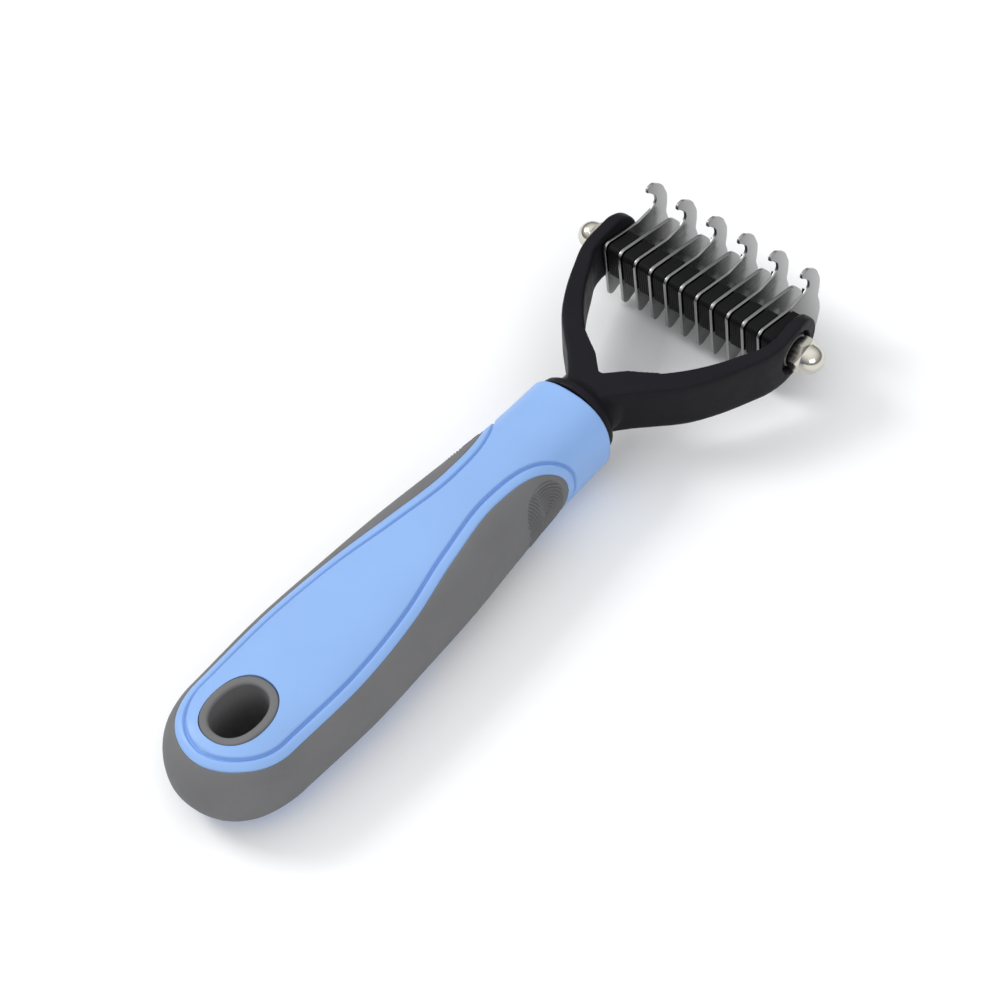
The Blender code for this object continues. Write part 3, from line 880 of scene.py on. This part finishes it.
def blade_outline(upper_hook):
    rise = NEAR_CORNER_Z - BLADE_MID_Z
    top = [(NEAR_Y, BLADE_MID_Z + rise, NEAR_TOP_R)]
    upper = hook_corners(+1) + WAIST if upper_hook else SHOULDER
    lower = list(reversed(hook_corners(-1)))
    foot = [(NEAR_Y, BLADE_MID_Z - rise, NEAR_FOOT_R)]
    return filleted(top + upper + lower + foot)


def spacer_outline(far, inset):
    """Outline of a spacer that reaches forward to far, drawn in by inset."""
    top, near = NEAR_CORNER_Z - SPACER_INSET - inset, NEAR_Y + SPACER_INSET + inset
    far_top = top - EDGE_SLOPE * (far - near)
    floor = SPACER_FLOOR_Z + inset
    corners = [(near, top, 1.5), (far - inset, far_top, 0.5), (far - inset, floor, 0.8), (near, floor, 0.8)]
    return filleted(corners, math.radians(12))


def spacer(name, far, x):
    """Moulded block with fine lines scored round it, like a stack of shims."""
    half = SPACER_THICK / 2
    places = [(-half, SPACER_SOFT), (-half + SPACER_SOFT, 0.0)]  # across the block, and inset
    for k in range(SCORE_COUNT):
        middle = SPACER_THICK * ((k + 1) / (SCORE_COUNT + 1) - 0.5)
        places += [(middle - SCORE_HALF, 0.0), (middle, SCORE_DEPTH), (middle + SCORE_HALF, 0.0)]
    places += [(half - SPACER_SOFT, 0.0), (half, SPACER_SOFT)]
    bm = bmesh.new()
    loft(bm, [[(x + across, y, z) for y, z in spacer_outline(far, inset)] for across, inset in places])
    obj = from_bmesh(name, bm)
    cut(obj, rod_hole(name + "_hole", x))
    smooth_by_angle(obj.data, 30)
    return obj


def plate(name, outline, x, thick, soft):
    """Flat plate at x with a rod hole and rounded rims of radius soft."""
    bm = bmesh.new()
    loft(bm, [[(x + side * thick / 2, y, z) for y, z in outline] for side in (-1, 1)])
    obj = from_bmesh(name, bm)
    cut(obj, rod_hole(name + "_hole", x))
    bevel = obj.modifiers.new("rims", "BEVEL")
    bevel.width = soft
    bevel.segments = 3
    bevel.limit_method = "ANGLE"
    bevel.angle_limit = math.radians(60)
    baked(obj)
    smooth_by_angle(obj.data, 40)
    for face in obj.data.polygons:
        face.use_smooth = abs(face.normal.x) < 0.999
    return obj


def build_pack():
    """Blades, every second one without its upper hook, and the spacer on the right of each."""
    for k in range(BLADE_COUNT):
        blade_x = -PACK_WIDE / 2 + BLADE_THICK / 2 + k * PITCH
        last = k == BLADE_COUNT - 1
        blade = plate(f"blade_{k + 1:02d}_fine", blade_outline(k % 2 == 0), blade_x, BLADE_THICK, 0.13)
        placed(blade, f"blade_{k + 1:02d}", "blade_steel", at=PACK)
        node = "end_spacer" if last else f"spacer_{k + 1:02d}"
        block = spacer(node + "_fine", END_SPACER_FAR_Y if last else SPACER_FAR_Y, blade_x + PITCH / 2)
        placed(block, node, "spacer_plastic", at=PACK)


# ---------------------------------------------------------------- rod, washers and nuts
def rod_places():
    """Where the rod's rings stand: close together along the threads, far apart along the plain middle."""
    places = [-ROD_HALF, -ROD_HALF + 0.01]
    x = -ROD_HALF + 0.05
    while x < ROD_HALF:
        places.append(x)
        if abs(x) > THREAD_FROM:
            x += 0.07
        elif abs(x) < THREAD_FROM - 1.2:
            x += 1.0
        else:
            x += 0.2
    return places + [ROD_HALF]


def build_rod(steps=48):
    """Rod with a rolled thread on each end: a height field on a cylinder, so that it is a true helix."""
    bm = bmesh.new()
    rows = []
    for x in rod_places():
        row = []
        for k in range(steps):
            turn = k / steps
            radius = ROD_R
            if abs(x) > THREAD_FROM:
                phase = (x / THREAD_PITCH + turn) % 1.0
                run_in = min(1.0, (abs(x) - THREAD_FROM) / THREAD_RUN_IN)
                radius -= THREAD_DEPTH * abs(2 * phase - 1) * run_in
            radius = min(radius, ROD_R - ROD_CHAMFER + (ROD_HALF - abs(x)))
            row.append((x, radius * math.cos(2 * math.pi * turn), radius * math.sin(2 * math.pi * turn)))
        rows.append(row)
    loft(bm, rows)
    rod = from_bmesh("clamp_rod_fine", bm)
    smooth_by_angle(rod.data, 40)
    placed(rod, "clamp_rod", "zinc_plate")


def build_washer(side, name, soft=0.12):
    """Flat washer with soft rims."""
    near, far, inner, outer = WASHER
    profile = [(far - soft, inner), (far, inner + soft), (far, outer - 2 * soft), (far - 2 * soft, outer)]
    profile += [(near + soft, outer), (near, outer - soft), (near, inner + soft), (near + soft, inner)]
    profile.append(profile[0])
    ring = x_turned(f"{name}_washer_fine", profile, 72, side)
    smooth_by_angle(ring.data, 30)
    placed(ring, f"{name}_washer", "zinc_plate", f"{name}_washer_body")


def build_nut(side, name):
    """Acorn nut: a hexagon with turned corners, a collar and a dome, and a blind bore."""
    base = NUT_BASE_X
    top = base + NUT_HEX
    flat = NUT_FLATS / 2
    corner = NUT_FLATS / math.sqrt(3)
    centre = NUT_TIP_X - NUT_DOME_R
    profile = [(NUT_TIP_X, 0)]
    for k in range(1, 16):
        angle = math.radians(6 * k)
        profile.append((centre + NUT_DOME_R * math.cos(angle), NUT_DOME_R * math.sin(angle)))
    profile += [(top + 0.1, NUT_DOME_R), (top, NUT_DOME_R + 0.08), (top - 0.05, flat - 0.1)]
    profile += [(top - 0.65, corner + 0.02), (base + 0.45, corner + 0.02), (base, flat)]
    profile += [(base, ROD_HOLE_R), (base + NUT_THREAD, ROD_HOLE_R), (base + NUT_THREAD + 0.8, 0)]
    nut = x_turned(f"{name}_cap_nut_fine", profile, 96, side)
    bm = bmesh.new()
    turn = Matrix.Rotation(math.radians(NUT_TURN) + math.pi / 2, 4, "X")
    bmesh.ops.create_cone(
        bm, cap_ends=True, segments=6, radius1=corner, radius2=corner, depth=24,
        matrix=Matrix.Translation((side * base, 0, 0)) @ turn @ Matrix.Rotation(math.pi / 2, 4, "Y"),
    )
    hexagon = from_bmesh("hexagon", bm)
    mod = nut.modifiers.new("flats", "BOOLEAN")
    mod.operation = "INTERSECT"
    mod.solver = "EXACT"
    mod.object = hexagon
    bevel = nut.modifiers.new("rims", "BEVEL")
    bevel.width = 0.1
    bevel.segments = 2
    bevel.limit_method = "ANGLE"
    bevel.angle_limit = math.radians(35)
    baked(nut)
    bpy.data.objects.remove(hexagon)
    smooth_by_angle(nut.data, 30)
    placed(nut, f"{name}_cap_nut", "nickel_plate", f"{name}_nut_body")


def build_fasteners():
    build_rod()
    for side, name in ((-1, "left"), (1, "right")):
        build_washer(side, name)
        build_nut(side, name)


# ---------------------------------------------------------------- studio
CAMERA_AT = (0.21472, -0.23142, 0.41058)
CAMERA_AZIMUTH, CAMERA_ELEVATION, CAMERA_ROLL = 42.43, 51.56, -3.01
CAMERA_LENS = 90.0


def build_camera():
    """Camera that looks from an azimuth (0 is from behind the handle) and an elevation, in degrees."""
    az, el, roll = (math.radians(a) for a in (CAMERA_AZIMUTH, CAMERA_ELEVATION, CAMERA_ROLL))
    back = Vector((math.sin(az) * math.cos(el), -math.cos(az) * math.cos(el), math.sin(el)))
    level = Vector((0, 0, 1)).cross(back).normalized()
    right = level * math.cos(roll) + back.cross(level) * math.sin(roll)
    up = back.cross(right)
    camera = bpy.data.objects.new("camera", bpy.data.cameras.new("camera"))
    camera.data.lens = CAMERA_LENS
    camera.data.sensor_width = 36.0
    camera.data.clip_start = 0.01
    camera.matrix_world = Matrix.Translation(CAMERA_AT) @ Matrix((right, up, back)).transposed().to_4x4()
    bpy.context.scene.collection.objects.link(camera)
    bpy.context.scene.camera = camera


def area_light(name, at, size, power):
    """Rectangular lamp that faces the origin."""
    light = bpy.data.objects.new(name, bpy.data.lights.new(name, "AREA"))
    light.data.shape = "RECTANGLE"
    light.data.size, light.data.size_y = size
    light.data.energy = power
    light.location = at
    light.rotation_euler = Vector(at).to_track_quat("Z", "Y").to_euler()
    bpy.context.scene.collection.objects.link(light)


def build_studio():
    """White paper floor, a sky that brightens with height, and two lamps."""
    bm = bmesh.new()
    bmesh.ops.create_grid(bm, x_segments=4, y_segments=4, size=3.0)
    floor = from_bmesh("floor", bm)
    mat, tree, shader, place = shader_material("paper", (0.93, 0.93, 0.93), 0.9)
    tinted(tree, shader, remap(tree, noise(tree, place, 3, 2), 0, 1), (0.92, 0.92, 0.92), (0.94, 0.94, 0.94))
    floor.data.materials.append(mat)
    world = bpy.data.worlds.new("studio")
    bpy.context.scene.world = world
    world.use_nodes = True
    sky = world.node_tree
    sky.nodes["Background"].inputs["Color"].default_value = (0.97, 0.98, 1.0, 1)
    direction = sky.nodes.new("ShaderNodeTexCoord")
    height = sky.nodes.new("ShaderNodeSeparateXYZ")
    sky.links.new(direction.outputs["Generated"], height.inputs["Vector"])
    strength = remap(sky, height.outputs["Z"], 0.05, 1.24, 0.0, 1.0)
    sky.links.new(strength, sky.nodes["Background"].inputs["Strength"])
    area_light("key", (-0.70, -0.22, 0.66), (0.36, 0.36), 4.3)
    area_light("fill", (0.75, -0.45, 0.55), (0.8, 0.5), 2.4)


build_handle()
build_yoke()
build_pack()
build_fasteners()
build_studio()
build_camera()
bpy.context.scene.view_settings.view_transform = "Standard"
